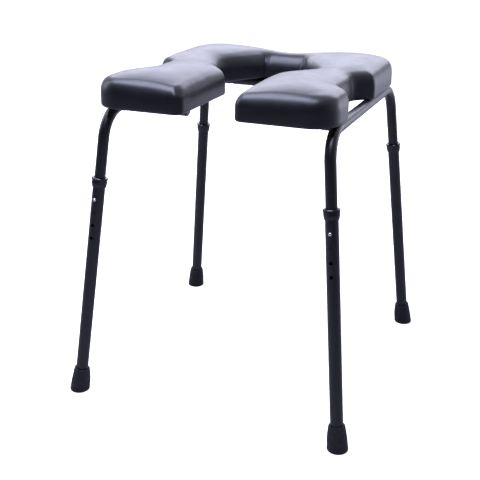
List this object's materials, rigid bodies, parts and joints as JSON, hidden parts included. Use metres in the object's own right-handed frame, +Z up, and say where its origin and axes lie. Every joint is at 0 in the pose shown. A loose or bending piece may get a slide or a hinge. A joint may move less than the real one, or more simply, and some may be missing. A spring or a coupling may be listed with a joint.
{
  "type": "headstand stool",
  "caption": "Four-legged stool with an open-fronted padded top round a head hole, hand notches over side rails, and telescoping legs with snap buttons.",
  "frame": {"origin": "on the floor, midway between the four feet", "axes": "+Z up, -Y towards the open front of the pad, +X to the right seen from the front"},
  "size_m": [0.616, 0.6358, 0.6752],
  "materials": {
    "frame_paint": "satin black powder coat",
    "leg_paint": "satin black powder coat",
    "gloss_plastic": "glossy black moulded plastic",
    "foot_rubber": "matt dark grey rubber",
    "zinc_steel": "zinc plated",
    "button_metal": "bright nickel",
    "spring_steel": "tempered spring steel",
    "vinyl": "smooth black upholstery vinyl, satin",
    "foam": "cut polyurethane foam",
    "plywood": "raw plywood"
  },
  "bodies": {
    "frame": {"side_tube_left": "frame_paint", "side_tube_right": "frame_paint", "rear_cross_tube": "frame_paint", "front_arm_left": "frame_paint", "front_arm_right": "frame_paint", "arm_plug_left": "gloss_plastic", "arm_plug_right": "gloss_plastic", "seat_board": "plywood", "seat_foam": "foam", "seat_cover": "vinyl", "tee_nuts": "zinc_steel", "seat_bolts": "zinc_steel", "button_spring_front_left": "spring_steel", "button_spring_front_right": "spring_steel", "button_spring_rear_left": "spring_steel", "button_spring_rear_right": "spring_steel"},
    "leg_front_left": {"leg_tube_front_left": "leg_paint", "leg_collar_front_left": "gloss_plastic", "foot_ferrule_front_left": "foot_rubber", "foot_disc_front_left": "zinc_steel"},
    "button_front_left": {"snap_button_front_left": "button_metal"},
    "leg_front_right": {"leg_tube_front_right": "leg_paint", "leg_collar_front_right": "gloss_plastic", "foot_ferrule_front_right": "foot_rubber", "foot_disc_front_right": "zinc_steel"},
    "button_front_right": {"snap_button_front_right": "button_metal"},
    "leg_rear_left": {"leg_tube_rear_left": "leg_paint", "leg_collar_rear_left": "gloss_plastic", "foot_ferrule_rear_left": "foot_rubber", "foot_disc_rear_left": "zinc_steel"},
    "button_rear_left": {"snap_button_rear_left": "button_metal"},
    "leg_rear_right": {"leg_tube_rear_right": "leg_paint", "leg_collar_rear_right": "gloss_plastic", "foot_ferrule_rear_right": "foot_rubber", "foot_disc_rear_right": "zinc_steel"},
    "button_rear_right": {"snap_button_rear_right": "button_metal"}
  },
  "joints": [
    {"name": "leg_front_left_slide", "type": "slide", "parent": "frame", "child": "leg_front_left", "axis": [0.1023, 0.1005, 0.9897], "range_m": [0, 0.081], "deforming": ["snap_button_front_left", "button_spring_front_left"]},
    {"name": "button_front_left_press", "type": "slide", "parent": "frame", "child": "button_front_left", "axis": [-0.0103, 0.9949, -0.1], "range_m": [0, 0.005], "stiffness_N_per_m": 2500, "springref_m": -0.002, "deforming": ["button_spring_front_left"]},
    {"name": "leg_front_right_slide", "type": "slide", "parent": "frame", "child": "leg_front_right", "axis": [-0.1023, 0.1005, 0.9897], "range_m": [0, 0.081], "deforming": ["snap_button_front_right", "button_spring_front_right"]},
    {"name": "button_front_right_press", "type": "slide", "parent": "frame", "child": "button_front_right", "axis": [0.0103, 0.9949, -0.1], "range_m": [0, 0.005], "stiffness_N_per_m": 2500, "springref_m": -0.002, "deforming": ["button_spring_front_right"]},
    {"name": "leg_rear_left_slide", "type": "slide", "parent": "frame", "child": "leg_rear_left", "axis": [0.1023, -0.1005, 0.9897], "range_m": [0, 0.081], "deforming": ["snap_button_rear_left", "button_spring_rear_left"]},
    {"name": "button_rear_left_press", "type": "slide", "parent": "frame", "child": "button_rear_left", "axis": [-0.0103, -0.9949, -0.1], "range_m": [0, 0.005], "stiffness_N_per_m": 2500, "springref_m": -0.002, "deforming": ["button_spring_rear_left"]},
    {"name": "leg_rear_right_slide", "type": "slide", "parent": "frame", "child": "leg_rear_right", "axis": [-0.1023, -0.1005, 0.9897], "range_m": [0, 0.081], "deforming": ["snap_button_rear_right", "button_spring_rear_right"]},
    {"name": "button_rear_right_press", "type": "slide", "parent": "frame", "child": "button_rear_right", "axis": [0.0103, -0.9949, -0.1], "range_m": [0, 0.005], "stiffness_N_per_m": 2500, "springref_m": -0.002, "deforming": ["button_spring_rear_right"]}
  ]
}
